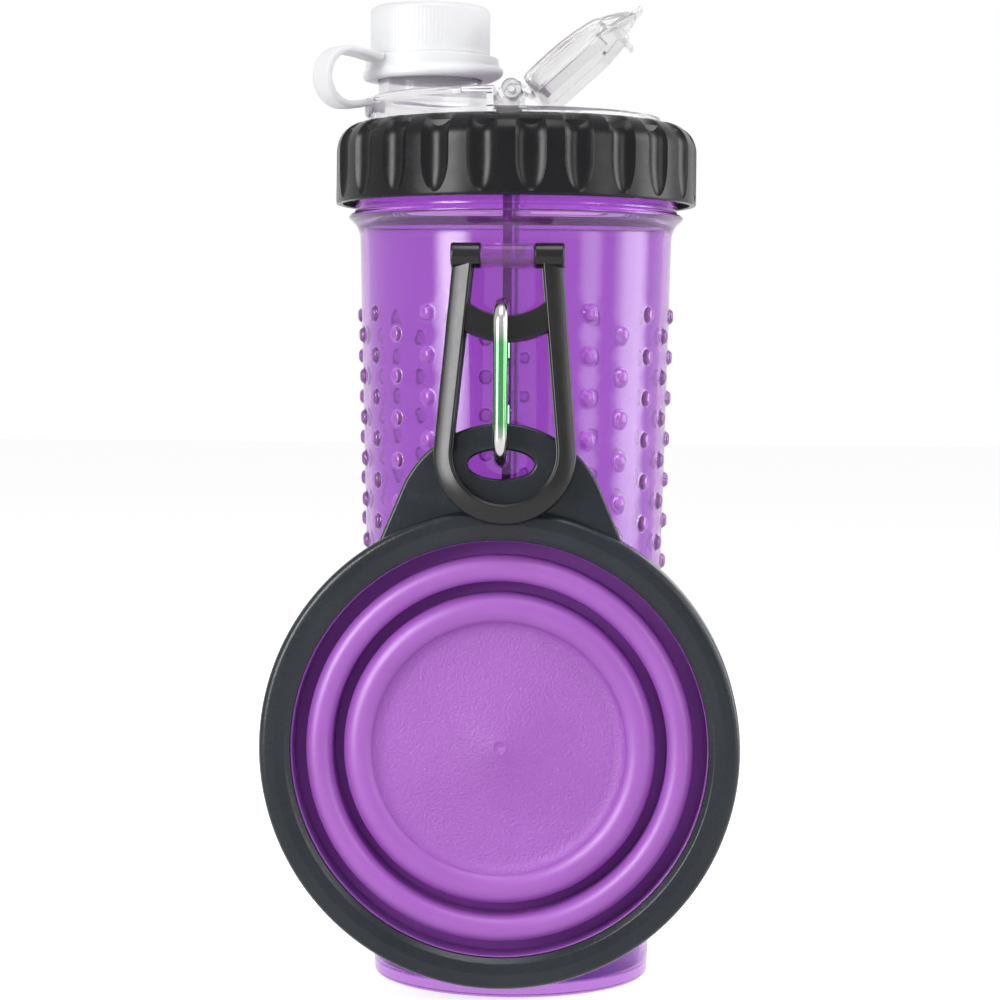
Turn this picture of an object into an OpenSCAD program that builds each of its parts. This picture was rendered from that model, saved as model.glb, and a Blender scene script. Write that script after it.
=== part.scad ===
// Two-chamber travel bottle for a dog: a see-through beaker with a water side
// and a snack side, a screw collar over a clear lid, and a folding cup that
// hangs in front on a swinging hanger and a snap hook.
// Origin: centre of the beaker's base. Front is -Y, water side is -X.

/* [Beaker] */
// Outer radius of the beaker at its base
base_r = 34.9; // [33:0.1:38]
// Height of the beaker's wall from the base to the shoulder
body_h = 187; // [182:0.5:200]
// How much the outer radius grows from base to shoulder
body_flare = 4.5; // [3:0.1:5]
// Wall thickness of the beaker
wall = 2.0; // [1.6:0.1:2.6]
// Thickness of the beaker's floor
floor_t = 2.6; // [2:0.1:4]
// Rounding of the bottom edge
foot_round = 1.6; // [1:0.1:2]
// How far the shoulder bead stands out past the wall
shoulder_out = 3.0; // [2.4:0.1:3.4]
// Height of the shoulder, from the wall's top to the neck
shoulder_h = 5.8; // [5.4:0.1:7]
// How far the neck stands in from the shoulder bead
neck_step = 1.6; // [1.4:0.1:2]
// Length of the neck above the shoulder
neck_h = 17.4; // [16.5:0.1:20]
// Wall thickness of the neck
neck_wall = 2.3; // [2:0.1:2.6]
// Thickness of the wall between the two chambers
divider_t = 2.1; // [1.6:0.1:3]

/* [Collar] */
// How far the collar stands out past the neck
collar_out = 4.7; // [4.6:0.1:6]
// Height of the collar
collar_h = 20.3; // [19.4:0.1:21]
// Gap between the collar's foot and the shoulder bead
collar_lift = 2.0; // [1.2:0.1:2.5]
// Rounding of the collar's top edge
collar_round = 7; // [4:0.5:8]
// Thickness of the collar's skirt
collar_wall = 2.5; // [2.3:0.1:3.2]
// Number of finger flutes round the collar
flutes = 24; // [18:1:30]
// Radius of a flute
flute_r = 5.2; // [4:0.1:6]
// Depth of a flute
flute_depth = 1.2; // [0.8:0.1:1.4]
// Rise of the collar's thread in one turn
collar_pitch = 4; // [3:0.5:5]

/* [Lid] */
// Thickness of the lid's plates
lid_t = 1.7; // [1.4:0.1:2.2]
// Thickness of the soft seal under the lid
gasket_t = 1.0; // [0.8:0.1:1.6]
// Height of the raised spout half above the collar
raised_h = 6.5; // [6:0.1:7.5]
// Height of the low snack half above the collar
low_h = 1.6; // [1:0.1:2.4]
// How far the raised half's top stays inside the neck's outer face
raised_in = 3.3; // [3.2:0.1:4]
// How far the low half stays inside the neck's outer face
low_in = 4.5; // [4.2:0.1:5.5]
// Where the raised half ends, left of the middle
raised_edge = 3.6; // [3.5:0.1:4.5]
// Width of the rim outside the snack opening's round side
opening_rim = 4.8; // [4.4:0.1:7]
// Half width of the snack opening as a share of its radius
opening_wide = 0.715; // [0.6:0.005:0.74]

/* [Spout] */
// Distance of the spout's axis from the raised half's round side
spout_in = 15.5; // [15.3:0.1:16]
// Outer radius of the spout's foot
spout_r = 13; // [12.6:0.1:13.2]
// Wall thickness of the spout
spout_wall = 1.6; // [1.2:0.1:2]
// Outer radius of the cap
cap_r = 15.1; // [15:0.1:15.6]
// Height of the cap's grip
cap_h = 12.2; // [12:0.1:14]
// Wall thickness of the cap
cap_wall = 1.5; // [1.2:0.1:1.6]
// Outer radius of the tether ring's bead
ring_r = 17.8; // [17.3:0.1:17.9]
// Height of the tether ring
ring_h = 5.9; // [5.6:0.1:6.4]
// Gap between the raised half and the tether ring
ring_lift = 4.7; // [3.6:0.1:5]
// Rise of the cap's thread in one turn
cap_pitch = 3; // [2.4:0.1:3.2]
// Width of the tether band
strap_w = 6.5; // [4:0.1:7]
// Thickness of the tether band
strap_t = 1.8; // [1.2:0.1:2]
// Outer radius of the tether's bend
strap_bend_r = 7.7; // [7:0.1:7.9]
// Angle of the tether's loop, from the left towards the front
strap_angle = 42; // [30:1:48]

/* [Snack door] */
// How far the door reaches past the snack opening
door_over = 3.5; // [2.5:0.1:4]
// Wall thickness of the door
door_wall = 1.5; // [1.2:0.1:2]
// How far the door stands open at rest, in degrees
door_open = 42; // [20:1:60]
// Radius of the hinge barrel
barrel_r = 2.4; // [2.2:0.1:2.5]
// Radius of the hinge pin
door_pin_r = 1.0; // [0.8:0.1:1.2]
// Length of the door's hinge barrel
barrel_l = 18; // [12:0.5:24]

/* [Hanger] */
// Radius of the beaker's bar that carries the hanger
bar_r = 3.0; // [2.6:0.1:3.2]
// Width of that bar between the hanger's ears
bar_w = 12.8; // [12:0.1:14]
// Distance of the bar's axis in front of the beaker's wall
bar_out = 4.7; // [4.4:0.1:6]
// Distance of the bar's axis below the shoulder
bar_drop = 6.6; // [6:0.1:9]
// Sideways place of the bar, off the beaker's middle
bar_x = 0.5; // [-1:0.1:1]
// Radius of the stub pins at the bar's ends
stub_r = 1.5; // [1.2:0.1:1.8]
// Radius of the hanger's ears
ear_r = 3.1; // [2.9:0.1:3.4]
// Length of an ear
ear_l = 7.1; // [6:0.1:8]
// Thickness of the hanger's legs, front to back
hanger_t = 4.5; // [3.5:0.1:5]
// Width of a leg
leg_w = 4.7; // [4:0.1:5]
// Outer radius of the bend at the bottom
bend_r = 16.9; // [16.5:0.1:18]
// Distance from the bar's axis to the lowest point
hanger_l = 64.5; // [63:0.1:66]
// Lean of the hanger at rest, in degrees
hanger_lean = 9.6; // [9.4:0.1:11]
// Distance from the bar's axis to the web's upper edge
web_top = 14.6; // [14:0.1:16]
// Height of the web
web_h = 6.4; // [5.6:0.1:6.6]
// Thickness of the web
web_t = 3.0; // [2.4:0.1:3.2]

/* [Snap hook] */
// Sideways place of the hook on the hanger's web, off the beaker's middle
hook_x = -0.6; // [-1:0.1:1]
// Radius of the hook's wire
wire_r = 1.8; // [1.5:0.1:1.9]
// Radius of the hook's bends, at the middle of the wire
hook_r = 5.6; // [5.5:0.1:6.2]
// Length of the straight stretch between the bends
hook_l = 25.5; // [24:0.1:27]
// Radius of the gate
gate_r = 1.4; // [1.2:0.1:1.6]
// Length of the gate, from its rivet to its nose
gate_l = 13.6; // [12:0.1:14]
// Height of the gate's rivet above the middle of the lower bend
gate_lift = 6.1; // [5.8:0.1:7]

/* [Folding cup] */
// Outer radius of the cup's frame
cup_r = 57.3; // [56:0.1:58]
// How far the tab stands out above the cup's ring
tab_reach = 20.3; // [20:0.1:22]
// Thickness of the frame, back to front
cup_t = 13.4; // [12:0.1:13.5]
// Gap between the cup's back and the widest part of the beaker it leans on
cup_gap = 0.4; // [0.3:0.1:1]
// Width of the frame's ring
frame_w = 7.5; // [7:0.1:9]
// Wall thickness of the soft cup
soft_t = 1.8; // [1.2:0.1:2]
// Thickness of the hang tab
tab_t = 3.0; // [2.6:0.1:3.2]
// Half length of the tab's oval hole
hole_a = 7.9; // [7:0.1:9]
// Half height of the tab's oval hole
hole_b = 3.45; // [3.2:0.05:3.6]
// Height of the tab's rim above its hole
tab_rim = 6.4; // [5.6:0.1:6.6]
// Width of the groove outside the outer fold's ridge
groove1_w = 3.6; // [3.2:0.1:4]
// Width of the outer fold's ridge
ridge1_w = 6.2; // [5.6:0.1:6.6]
// Width of the groove between the two folds
groove2_w = 2.7; // [2.4:0.1:3.2]
// Width of the inner fold's ridge
ridge2_w = 7.7; // [7:0.1:8]

/* [Clearances] */
// Radial gap of a shaft that turns in its hole
run_gap = 0.06; // [0.02:0.01:0.1]
// Gap between two moving pieces that pass each other
pass_gap = 0.3; // [0.2:0.05:0.4]

/* [Hidden] */
$fn = 96;
eps = 0.01;
far = 200;

purple = [0.55, 0.2, 0.75, 0.6];
soft_purple = [0.58, 0.25, 0.68];
clear = [0.9, 0.93, 0.95, 0.4];
frosted = [0.93, 0.93, 0.95, 0.8];
black = [0.08, 0.08, 0.09];
slate = [0.13, 0.16, 0.18];
steel = [0.75, 0.76, 0.78];
rubber = [0.85, 0.85, 0.85];

// Beaker
body_r = base_r + body_flare;
bead_r = body_r + shoulder_out;
neck_r = bead_r - neck_step;
neck_in_r = neck_r - neck_wall;
neck_z = body_h + shoulder_h;
rim_z = neck_z + neck_h;
bead_z = neck_z - 1.6;
cove_z = bead_z - 3.1;
thread_h = 1.8;
function wall_r(z) = base_r + body_flare * z / body_h;

// Collar and lid heights
collar_z = neck_z + collar_lift;
collar_top = collar_z + collar_h;
lid_z = rim_z + gasket_t;
flange_r = neck_r;
flange_top = lid_z + lid_t;
collar_r = neck_r + collar_out;
collar_in_r = collar_r - collar_wall;
flute_foot = 1;
mouth_gap = 0.3;
raised_r = neck_r - raised_in;
low_r = neck_r - low_in;
raised_foot_r = raised_r + 0.3;
raised_round = 1.1;
mouth_r = raised_foot_r + mouth_gap;
plate_z = flange_top + 0.1;
raised_top = collar_top + raised_h;
low_top = collar_top + low_h;
collar_thread_z = collar_z + 6;
neck_thread_z = collar_thread_z + collar_pitch / 2;

// Spout and cap
spout_x = raised_r - spout_in;
ring_z = raised_top + ring_lift;
ring_top = ring_z + ring_h;
cap_z = ring_top + pass_gap;
cap_top = cap_z + cap_h;
cap_in_r = cap_r - cap_wall;
insert_r = cap_in_r + 0.9;
spout_up_r = spout_r - 0.8;
liner_t = 0.8;
cap_plate = 1.6;
spout_top = cap_top - cap_plate - liner_t;
spout_in_r = spout_up_r - spout_wall;
lip_r = insert_r + 0.7;
lip_h = 1.2;
spout_thread_z = cap_z + 5;
cap_thread_z = spout_thread_z - cap_pitch / 2;

// Tether; wall_s is the distance from the spout to the raised half's wall, along the loop's plane
stud_hole_r = 1.3;
stud_head_r = stud_hole_r + 0.15;
stud_turn = asin(spout_x * sin(strap_angle) / raised_foot_r);
strap_start = 1.95;
strap_low = raised_top - 3.9;
strap_mid = strap_low + strap_bend_r;
wall_s = sqrt(pow(raised_foot_r, 2) - pow(spout_x * sin(strap_angle), 2)) - spout_x * cos(strap_angle);
bend_s = wall_s + 8;
stud_z = raised_top - lid_t - stud_head_r - 0.05;

// Snack door, given in its closed place about its hinge axis
opening_r = low_r - opening_rim;
opening_w = opening_wide * opening_r;
door_r = opening_r + door_over;
door_w = opening_w + door_over;
axis_x = -0.8;
axis_z = low_top + 6.7;
door_foot = low_top + 0.2 - axis_z;
door_near = 4.2;
door_top_near = -1.1;
door_top_tip = -5.1;
plug_h = 2.4;
plug_gap = 0.6;
plug_r = opening_r - plug_gap;
plug_w = opening_w - plug_gap;
opening_near = 3.5;
latch_h = 5.6;
latch_t = 1.2;
latch_w = 9;
latch_x = plug_r - 1.8;
lip_w = 12;
ear_gap = 0.2;
ear_w = 3.8;

// Hanger
bar_z = body_h - bar_drop;
bar_y = -(wall_r(bar_z) + bar_out);
stub_l = 4.6;
ear_gap_x = 0.1;
ear_in = bar_w / 2 + ear_gap_x;
bend_v = hanger_l - bend_r;
bend_in_r = bend_r - leg_w;
leg_top_out = ear_in + ear_l - 0.6;
web_v = web_top + web_h / 2;
web_y = bar_y - web_v * sin(hanger_lean);
web_z = bar_z - web_v * cos(hanger_lean);

// Snap hook
rim_mid_z = web_z - hook_l;
rivet_z = rim_mid_z + gate_lift;
nose_z = rivet_z + gate_l;
rivet_r = 0.7;
nose_pin_r = 0.55;
gate_y = web_y + hook_r;

// Folding cup
cup_back = -(wall_r(rim_mid_z) + cup_gap);
hole_z = rim_mid_z - tab_rim / 2 - hole_b;
tab_top = rim_mid_z + tab_rim / 2;
tab_r = 0.45 * cup_r;
tab_mid_z = tab_top - tab_r;
cup_z = tab_top - tab_reach - cup_r;
frame_lip = 1.2;
frame_in_r = cup_r - frame_w;
frame_body_r = frame_in_r + frame_lip;
lip_back = 10.6;
lip_front = 11.8;
web_depth = 0.3;
ridge1_r = frame_in_r - groove1_w;
ridge2_r = ridge1_r - ridge1_w - groove2_w;
ridge1_top = 12.2;
ridge2_top = 11.5;
floor_top = 8.2;
sleeve_in_r = frame_in_r - 0.2;

// ---- helpers ----

// Helical thread ridge; out = 1 stands outwards from r, out = -1 inwards
module thread(r, h, foot_w, tip_w, pitch, turns, out) {
    steps = ceil(turns * 40);
    sink = 0.3;
    foot = r - out * sink;
    tip = r + out * h;
    section = out > 0
        ? [[foot, -foot_w / 2], [tip, -tip_w / 2], [tip, tip_w / 2], [foot, foot_w / 2]]
        : [[foot, foot_w / 2], [tip, tip_w / 2], [tip, -tip_w / 2], [foot, -foot_w / 2]];
    pts = [for (i = [0:steps], s = section)
        let (a = 360 * turns * i / steps)
        [s[0] * cos(a), s[0] * sin(a), s[1] + pitch * a / 360]];
    sides = [for (i = [0:steps - 1], k = [0:3])
        let (n = (k + 1) % 4, a = 4 * i, b = 4 * i + 4)
        each [[a + k, a + n, b + n], [a + k, b + n, b + k]]];
    ends = [[2, 1, 0], [3, 2, 0], [4 * steps, 4 * steps + 1, 4 * steps + 2],
        [4 * steps, 4 * steps + 2, 4 * steps + 3]];
    polyhedron(points = pts, faces = concat(sides, ends));
}

// Points of an arc about c, from angle a0 to a1
function arc(c, r, a0, a1, n = 12) =
    [for (i = [0:n]) let (a = a0 + (a1 - a0) * i / n) [c[0] + r * cos(a), c[1] + r * sin(a)]];

// D-shaped outline right of the middle: round side of radius r, half width w
module d_outline(r, w, near) {
    intersection() {
        circle(r);
        translate([near, -w])
            square([far, 2 * w]);
    }
}

// Things drawn about the spout's axis
module at_spout() {
    translate([-spout_x, 0, 0])
        children();
}

// Swings the closed snack door to its rest place
module open_door() {
    translate([axis_x, 0, axis_z])
        rotate([0, -door_open, 0])
            children();
}

// Carries a flat drawing (x, up) into the hanger's leaning plane, t thick
module in_hanger(t) {
    translate([0, bar_y, bar_z])
        rotate([-hanger_lean, 0, 0])
            translate([0, t / 2, 0])
                rotate([90, 0, 0])
                    linear_extrude(t)
                        children();
}

// Places a solid of revolution about the cup's axis; z = 0 is its back plane
module at_cup() {
    translate([hook_x, cup_back, cup_z])
        rotate([90, 0, 0])
            children();
}

// ---- beaker ----

// Outer profile of the beaker
module shell_profile() {
    polygon(concat(
        [[0, 0]],
        arc([base_r - foot_round, foot_round], foot_round, -90, 0, 6),
        [[wall_r(cove_z), cove_z]],
        arc([bead_r, cove_z], bead_r - wall_r(cove_z), 178, 98, 8),
        [[bead_r, bead_z], [bead_r, bead_z + 0.7], [bead_r - 0.7, neck_z],
            [neck_r, neck_z], [neck_r, rim_z], [0, rim_z]]));
}

// Profile of the space inside the beaker
module cavity_profile() {
    low_r = wall_r(floor_t) - wall;
    polygon(concat(
        [[0, floor_t]],
        arc([low_r - foot_round, floor_t + foot_round], foot_round, -90, 0, 6),
        [[body_r - wall, body_h], [neck_in_r, neck_z - 1], [neck_in_r, rim_z + 1], [0, rim_z + 1]]));
}

// Bar on the beaker's front with a stub pin at each end
module hanger_bar() {
    translate([bar_x - bar_w / 2, bar_y, bar_z])
        rotate([0, 90, 0])
            cylinder(r = bar_r, h = bar_w);
    translate([bar_x - bar_w / 2 - stub_l, bar_y, bar_z])
        rotate([0, 90, 0])
            cylinder(r = stub_r, h = bar_w + 2 * stub_l);
    translate([bar_x - bar_w / 2, bar_y, bar_z - 1.6])
        cube([bar_w, bar_out + wall, 3.2]);
}

module bottle_shell() {
    color(purple)
        difference() {
            union() {
                rotate_extrude()
                    shell_profile();
                hanger_bar();
                translate([0, 0, neck_thread_z])
                    thread(neck_r, thread_h, 2.0, 0.9, collar_pitch, 1.25, 1);
            }
            rotate_extrude()
                cavity_profile();
        }
}

module divider_wall() {
    color(purple)
        intersection() {
            rotate_extrude()
                cavity_profile();
            translate([-divider_t / 2, -far / 2, 0])
                cube([divider_t, far, rim_z]);
        }
}

// ---- collar ----

module collar_profile() {
    polygon(concat(
        [[collar_in_r + 0.9, collar_z], [collar_r - 0.4, collar_z], [collar_r, collar_z + 0.4]],
        arc([collar_r - collar_round, collar_top - collar_round], collar_round, 0, 90, 10),
        [[mouth_r, collar_top], [mouth_r, plate_z], [collar_in_r, plate_z],
            [collar_in_r, collar_z + 2.6], [collar_in_r + 0.9, collar_z + 1.8]]));
}

// Upright finger flute with a round lower end, which stops above the collar's foot
module flute() {
    tip_h = sqrt(2 * flute_r * flute_depth - flute_depth * flute_depth);
    translate([collar_r + flute_r - flute_depth, 0, collar_z + flute_foot + tip_h]) {
        cylinder(r = flute_r, h = collar_h, $fn = 48);
        sphere(r = flute_r, $fn = 48);
    }
}

module collar() {
    color(black) {
        difference() {
            rotate_extrude()
                collar_profile();
            for (i = [0:flutes - 1])
                rotate([0, 0, (i + 0.5) * 360 / flutes])
                    flute();
        }
        translate([0, 0, collar_thread_z])
            thread(collar_in_r, collar_in_r - neck_r - 0.4, 1.8, 0.8, collar_pitch, 1, -1);
    }
}

// ---- lid ----

module lid_gasket() {
    color(rubber)
        difference() {
            translate([0, 0, rim_z])
                cylinder(r = flange_r, h = gasket_t);
            difference() {
                translate([0, 0, rim_z - 1])
                    cylinder(r = neck_in_r, h = gasket_t + 2);
                translate([-divider_t / 2, -far / 2, rim_z - 2])
                    cube([divider_t, far, gasket_t + 4]);
            }
        }
}

// Left of the wall between the halves, d further left
module left_half(d) {
    translate([-far - raised_edge - d, -far / 2, 0])
        cube([far, far, 2 * far]);
}

module right_half(d) {
    translate([-raised_edge - d, -far / 2, 0])
        cube([far, far, 2 * far]);
}

// Outer body of the lid: flange, raised half and low half
module lid_body() {
    translate([0, 0, lid_z])
        cylinder(r = flange_r, h = lid_t);
    intersection() {
        rotate_extrude()
            polygon(concat(
                [[0, lid_z], [raised_foot_r, lid_z], [raised_foot_r, collar_top]],
                arc([raised_r - raised_round, raised_top - raised_round], raised_round, 0, 90, 6),
                [[0, raised_top]]));
        left_half(0);
    }
    translate([0, 0, lid_z])
        cylinder(r = low_r, h = low_top - lid_z);
}

// Space inside the raised half
module raised_room() {
    intersection() {
        translate([0, 0, lid_z - 1])
            cylinder(r = raised_r - lid_t, h = raised_top - lid_t - lid_z + 1);
        left_half(lid_t);
    }
}

// Space under the low half
module low_room() {
    intersection() {
        translate([0, 0, lid_z - 1])
            cylinder(r = low_r - lid_t, h = low_top - lid_t - lid_z + 1);
        translate([divider_t / 2, -far / 2, 0])
            cube([far, far, 2 * far]);
    }
}

// Skirt that drops into the neck and centres the lid
module lid_skirt() {
    skirt_h = 3;
    difference() {
        translate([0, 0, lid_z - skirt_h])
            cylinder(r = neck_in_r - 0.2, h = skirt_h);
        translate([0, 0, lid_z - skirt_h - 1])
            cylinder(r = neck_in_r - 0.2 - lid_t, h = skirt_h + 2);
        translate([-divider_t / 2 - 0.4, -far / 2, lid_z - skirt_h - 1])
            cube([divider_t + 0.8, far, skirt_h + 2]);
    }
}

module spout() {
    at_spout() {
        translate([0, 0, raised_top - lid_t])
            cylinder(r = spout_r, h = ring_z + 0.4 - raised_top + lid_t);
        translate([0, 0, ring_z])
            cylinder(r = spout_up_r, h = spout_top - ring_z);
        translate([0, 0, spout_thread_z])
            thread(spout_up_r, 0.8, 1.3, 0.6, cap_pitch, 1.25, 1);
    }
}

// Two ears that hold the door's pin
module door_ears() {
    for (s = [-1, 1])
        translate([0, s * (barrel_l / 2 + ear_gap + ear_w / 2), 0]) {
            translate([axis_x, ear_w / 2, axis_z])
                rotate([90, 0, 0])
                    cylinder(r = barrel_r, h = ear_w);
            translate([-raised_edge - 0.5, -ear_w / 2, low_top - eps])
                cube([axis_x + barrel_r + raised_edge + 0.5, ear_w, axis_z - low_top]);
        }
}

module lid_insert() {
    color(clear)
        difference() {
            union() {
                difference() {
                    lid_body();
                    raised_room();
                    low_room();
                    translate([0, 0, low_top - lid_t - 1])
                        linear_extrude(lid_t + 2)
                            d_outline(opening_r, opening_w, opening_near);
                }
                lid_skirt();
                spout();
                door_ears();
            }
            at_spout()
                translate([0, 0, raised_top - 2 * lid_t])
                    cylinder(r = spout_in_r, h = far);
            translate([axis_x, far / 2, axis_z])
                rotate([90, 0, 0])
                    cylinder(r = door_pin_r, h = far);
            stud_place()
                translate([0, 0, -3 * lid_t])
                    cylinder(r = stud_hole_r, h = 6 * lid_t);
        }
}

// ---- tether ----

// Turns +X into the loop's plane, seen from the spout
module strap_plane() {
    at_spout()
        rotate([0, 0, 180 + strap_angle])
            children();
}

// Square to the raised half's wall, where the loop's plane meets it
module stud_place() {
    strap_plane()
        translate([wall_s, 0, stud_z])
            rotate([0, 90, -stud_turn])
                children();
}

module tether_strap() {
    color(frosted)
        strap_plane()
            translate([0, strap_w / 2, 0])
                rotate([90, 0, 0])
                    linear_extrude(strap_w)
                        polygon(concat(
                            [[wall_s + strap_start, stud_z - strap_t / 2]],
                            arc([bend_s, strap_mid], strap_bend_r, -90, 90, 24),
                            [[ring_r - 0.9, ring_top - 0.4], [ring_r - 0.9, ring_top - strap_t - 0.4]],
                            arc([bend_s, strap_mid], strap_bend_r - strap_t, 90, -90, 24),
                            [[wall_s + strap_start, stud_z + strap_t / 2]]));
}

module tether_stud() {
    color(frosted)
        stud_place() {
            translate([0, 0, 0.2])
                cylinder(r = 2.4, h = 0.8);
            translate([0, 0, -3.2])
                cylinder(r = stud_hole_r - 0.05, h = 3.6);
            translate([0, 0, -3.8])
                cylinder(r = stud_head_r, h = 0.9);
        }
}

module tether_ring() {
    color(frosted)
        at_spout()
            rotate_extrude()
                polygon(concat(
                    [[spout_r + 0.4, ring_z], [ring_r - 1.7, ring_z]],
                    arc([ring_r - 1.7, ring_z + 1.9], 1.7, -70, 60, 8),
                    [[ring_r - 0.9, ring_z + 3.5], [ring_r - 0.9, ring_top - 0.9], [cap_r + 0.3, ring_top],
                        [insert_r + 0.2, ring_top], [insert_r + 0.2, ring_z + 1 + lip_h + 0.2],
                        [lip_r + 0.2, ring_z + 1 + lip_h + 0.2], [lip_r + 0.2, ring_z + 0.8],
                        [spout_r + 0.4, ring_z + 0.8]]));
}

module spout_cap() {
    color(frosted)
        at_spout() {
            rotate_extrude()
                polygon(concat(
                    [[cap_in_r, ring_z + 1], [lip_r, ring_z + 1], [lip_r, ring_z + 1 + lip_h],
                        [insert_r, ring_z + 1 + lip_h], [insert_r, cap_z], [cap_r, cap_z]],
                    arc([cap_r - 1.6, cap_top - 1.6], 1.6, 0, 90, 6),
                    [[0, cap_top], [0, cap_top - cap_plate], [cap_in_r, cap_top - cap_plate]]));
            translate([0, 0, cap_thread_z])
                thread(cap_in_r, 0.8, 1.3, 0.6, cap_pitch, 1, -1);
        }
}

module cap_liner() {
    color(rubber)
        at_spout()
            translate([0, 0, spout_top])
                cylinder(r = cap_in_r, h = liner_t);
}

// ---- snack door, drawn closed about its axis ----

module door_side() {
    rotate([90, 0, 0])
        translate([0, 0, -far / 2])
            linear_extrude(far)
                polygon([[door_near, door_foot], [door_near, door_top_near],
                    [door_r + 1, door_top_tip], [door_r + 1, door_foot]]);
}

module door_room() {
    rotate([90, 0, 0])
        translate([0, 0, -far / 2])
            linear_extrude(far)
                polygon([[door_near + door_wall, -far],
                    [door_near + door_wall, door_top_near - door_wall - 0.1],
                    [door_r + 1, door_top_tip - door_wall + 0.2], [door_r + 1, -far]]);
}

module door_plug() {
    translate([-axis_x, 0, door_foot - plug_h])
        linear_extrude(plug_h + 0.5)
            difference() {
                d_outline(plug_r, plug_w, opening_near + 0.4);
                d_outline(plug_r - 1.2, plug_w - 1.2, opening_near + 1.6);
            }
    translate([-axis_x, 0, door_foot])
        linear_extrude(0.8)
            difference() {
                d_outline(door_r, door_w, door_near + axis_x);
                d_outline(plug_r - 1.2, plug_w - 1.2, opening_near + 1.6);
            }
}

module snack_door() {
    color(clear)
        open_door()
            difference() {
                union() {
                    difference() {
                        intersection() {
                            door_side();
                            translate([-axis_x, 0, -far / 2])
                                linear_extrude(far)
                                    d_outline(door_r, door_w, 0);
                        }
                        intersection() {
                            door_room();
                            translate([-axis_x, 0, -far / 2])
                                linear_extrude(far)
                                    d_outline(door_r - door_wall, door_w - door_wall, 0);
                        }
                    }
                    door_plug();
                    translate([0, barrel_l / 2, 0])
                        rotate([90, 0, 0])
                            cylinder(r = barrel_r, h = barrel_l);
                    translate([0, -barrel_l / 2, door_top_near - 2])
                        cube([door_near + 1, barrel_l, 2]);
                    translate([latch_x - axis_x - latch_t, -latch_w / 2, door_foot - latch_h])
                        cube([latch_t, latch_w, latch_h + 0.4]);
                    translate([latch_x - axis_x - latch_t, -latch_w / 2, door_foot - 0.6])
                        cube([plug_r - latch_x + latch_t - 0.2, latch_w, 1]);
                    translate([door_r - axis_x - 1.2, -lip_w / 2, door_foot])
                        cube([3.4, lip_w, 1.2]);
                }
                translate([0, far / 2, 0])
                    rotate([90, 0, 0])
                        cylinder(r = door_pin_r + run_gap, h = far);
            }
}

module door_pin() {
    pin_l = barrel_l + 2 * (ear_gap + ear_w);
    color(clear)
        translate([axis_x, pin_l / 2, axis_z])
            rotate([90, 0, 0])
                cylinder(r = door_pin_r, h = pin_l);
}

// ---- hanger ----

module hanger_outline() {
    difference() {
        union() {
            translate([0, -bend_v])
                circle(bend_r);
            polygon([[-bend_r, -bend_v], [-leg_top_out, 0], [leg_top_out, 0], [bend_r, -bend_v]]);
        }
        translate([0, -bend_v])
            circle(bend_in_r);
        polygon([[-bend_in_r, -bend_v], [-leg_top_out + leg_w + 0.6, 1],
            [leg_top_out - leg_w - 0.6, 1], [bend_in_r, -bend_v]]);
    }
}

// Sagging web between the legs, about the bar's axis
module web_outline() {
    intersection() {
        difference() {
            circle(web_top + web_h);
            circle(web_top);
        }
        polygon([[0, 0], [-far * 0.62, -far], [far * 0.62, -far]]);
    }
}

module hanger() {
    color(black)
        translate([bar_x, 0, 0])
        difference() {
            union() {
                in_hanger(hanger_t)
                    hanger_outline();
                in_hanger(web_t)
                    web_outline();
                for (s = [-1, 1])
                    translate([s * (ear_in + ear_l / 2) - ear_l / 2, bar_y, bar_z])
                        rotate([0, 90, 0])
                            cylinder(r = ear_r, h = ear_l);
            }
            for (s = [-1, 1])
                translate([s * (ear_in + stub_l / 2) - stub_l / 2 - 0.1, bar_y, bar_z])
                    rotate([0, 90, 0])
                        cylinder(r = stub_r + run_gap, h = stub_l + 0.2);
            translate([-ear_in, bar_y, bar_z])
                rotate([0, 90, 0])
                    cylinder(r = ear_r + pass_gap, h = 2 * ear_in);
        }
}

// ---- snap hook ----

// Bent wire in the plane X = 0; z is measured from the lower bend's middle
module wire_bend(z, a0, a1) {
    translate([hook_x, web_y, z])
        rotate([0, 90, 0])
            rotate([0, 0, a0])
                rotate_extrude(angle = a1 - a0)
                    translate([hook_r, 0])
                        circle(wire_r, $fn = 32);
}

module upright(y, z0, z1, r) {
    translate([hook_x, y, z0])
        cylinder(r = r, h = z1 - z0, $fn = 32);
}

module cross_pin(y, z, r, l) {
    translate([hook_x - l / 2, y, z])
        rotate([0, 90, 0])
            cylinder(r = r, h = l, $fn = 32);
}

module carabiner_body() {
    slot_w = 1.5;
    color(steel)
        difference() {
            union() {
                upright(web_y - hook_r, rim_mid_z, web_z, wire_r);
                wire_bend(rim_mid_z, -90, 90);
                wire_bend(web_z, 90, 270);
                upright(gate_y, rim_mid_z, rivet_z + 1.4, wire_r);
                upright(gate_y, nose_z - 1.2, web_z, wire_r);
            }
            // slot for the gate's foot
            translate([hook_x - slot_w / 2, gate_y - wire_r - 1, rivet_z - 1.6])
                cube([slot_w, 2 * wire_r + 2, 4]);
            cross_pin(gate_y, rivet_z, rivet_r, 10);
            // slot for the gate's nose
            translate([hook_x - slot_w / 2, gate_y - wire_r - 1, nose_z - 2])
                cube([slot_w, 2 * wire_r + 2, 3.2]);
            translate([hook_x - 5, gate_y - wire_r - 1, nose_z - nose_pin_r - 0.2])
                cube([10, wire_r + 1 + nose_pin_r + 0.1, 2 * nose_pin_r + 0.4]);
        }
}

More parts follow.
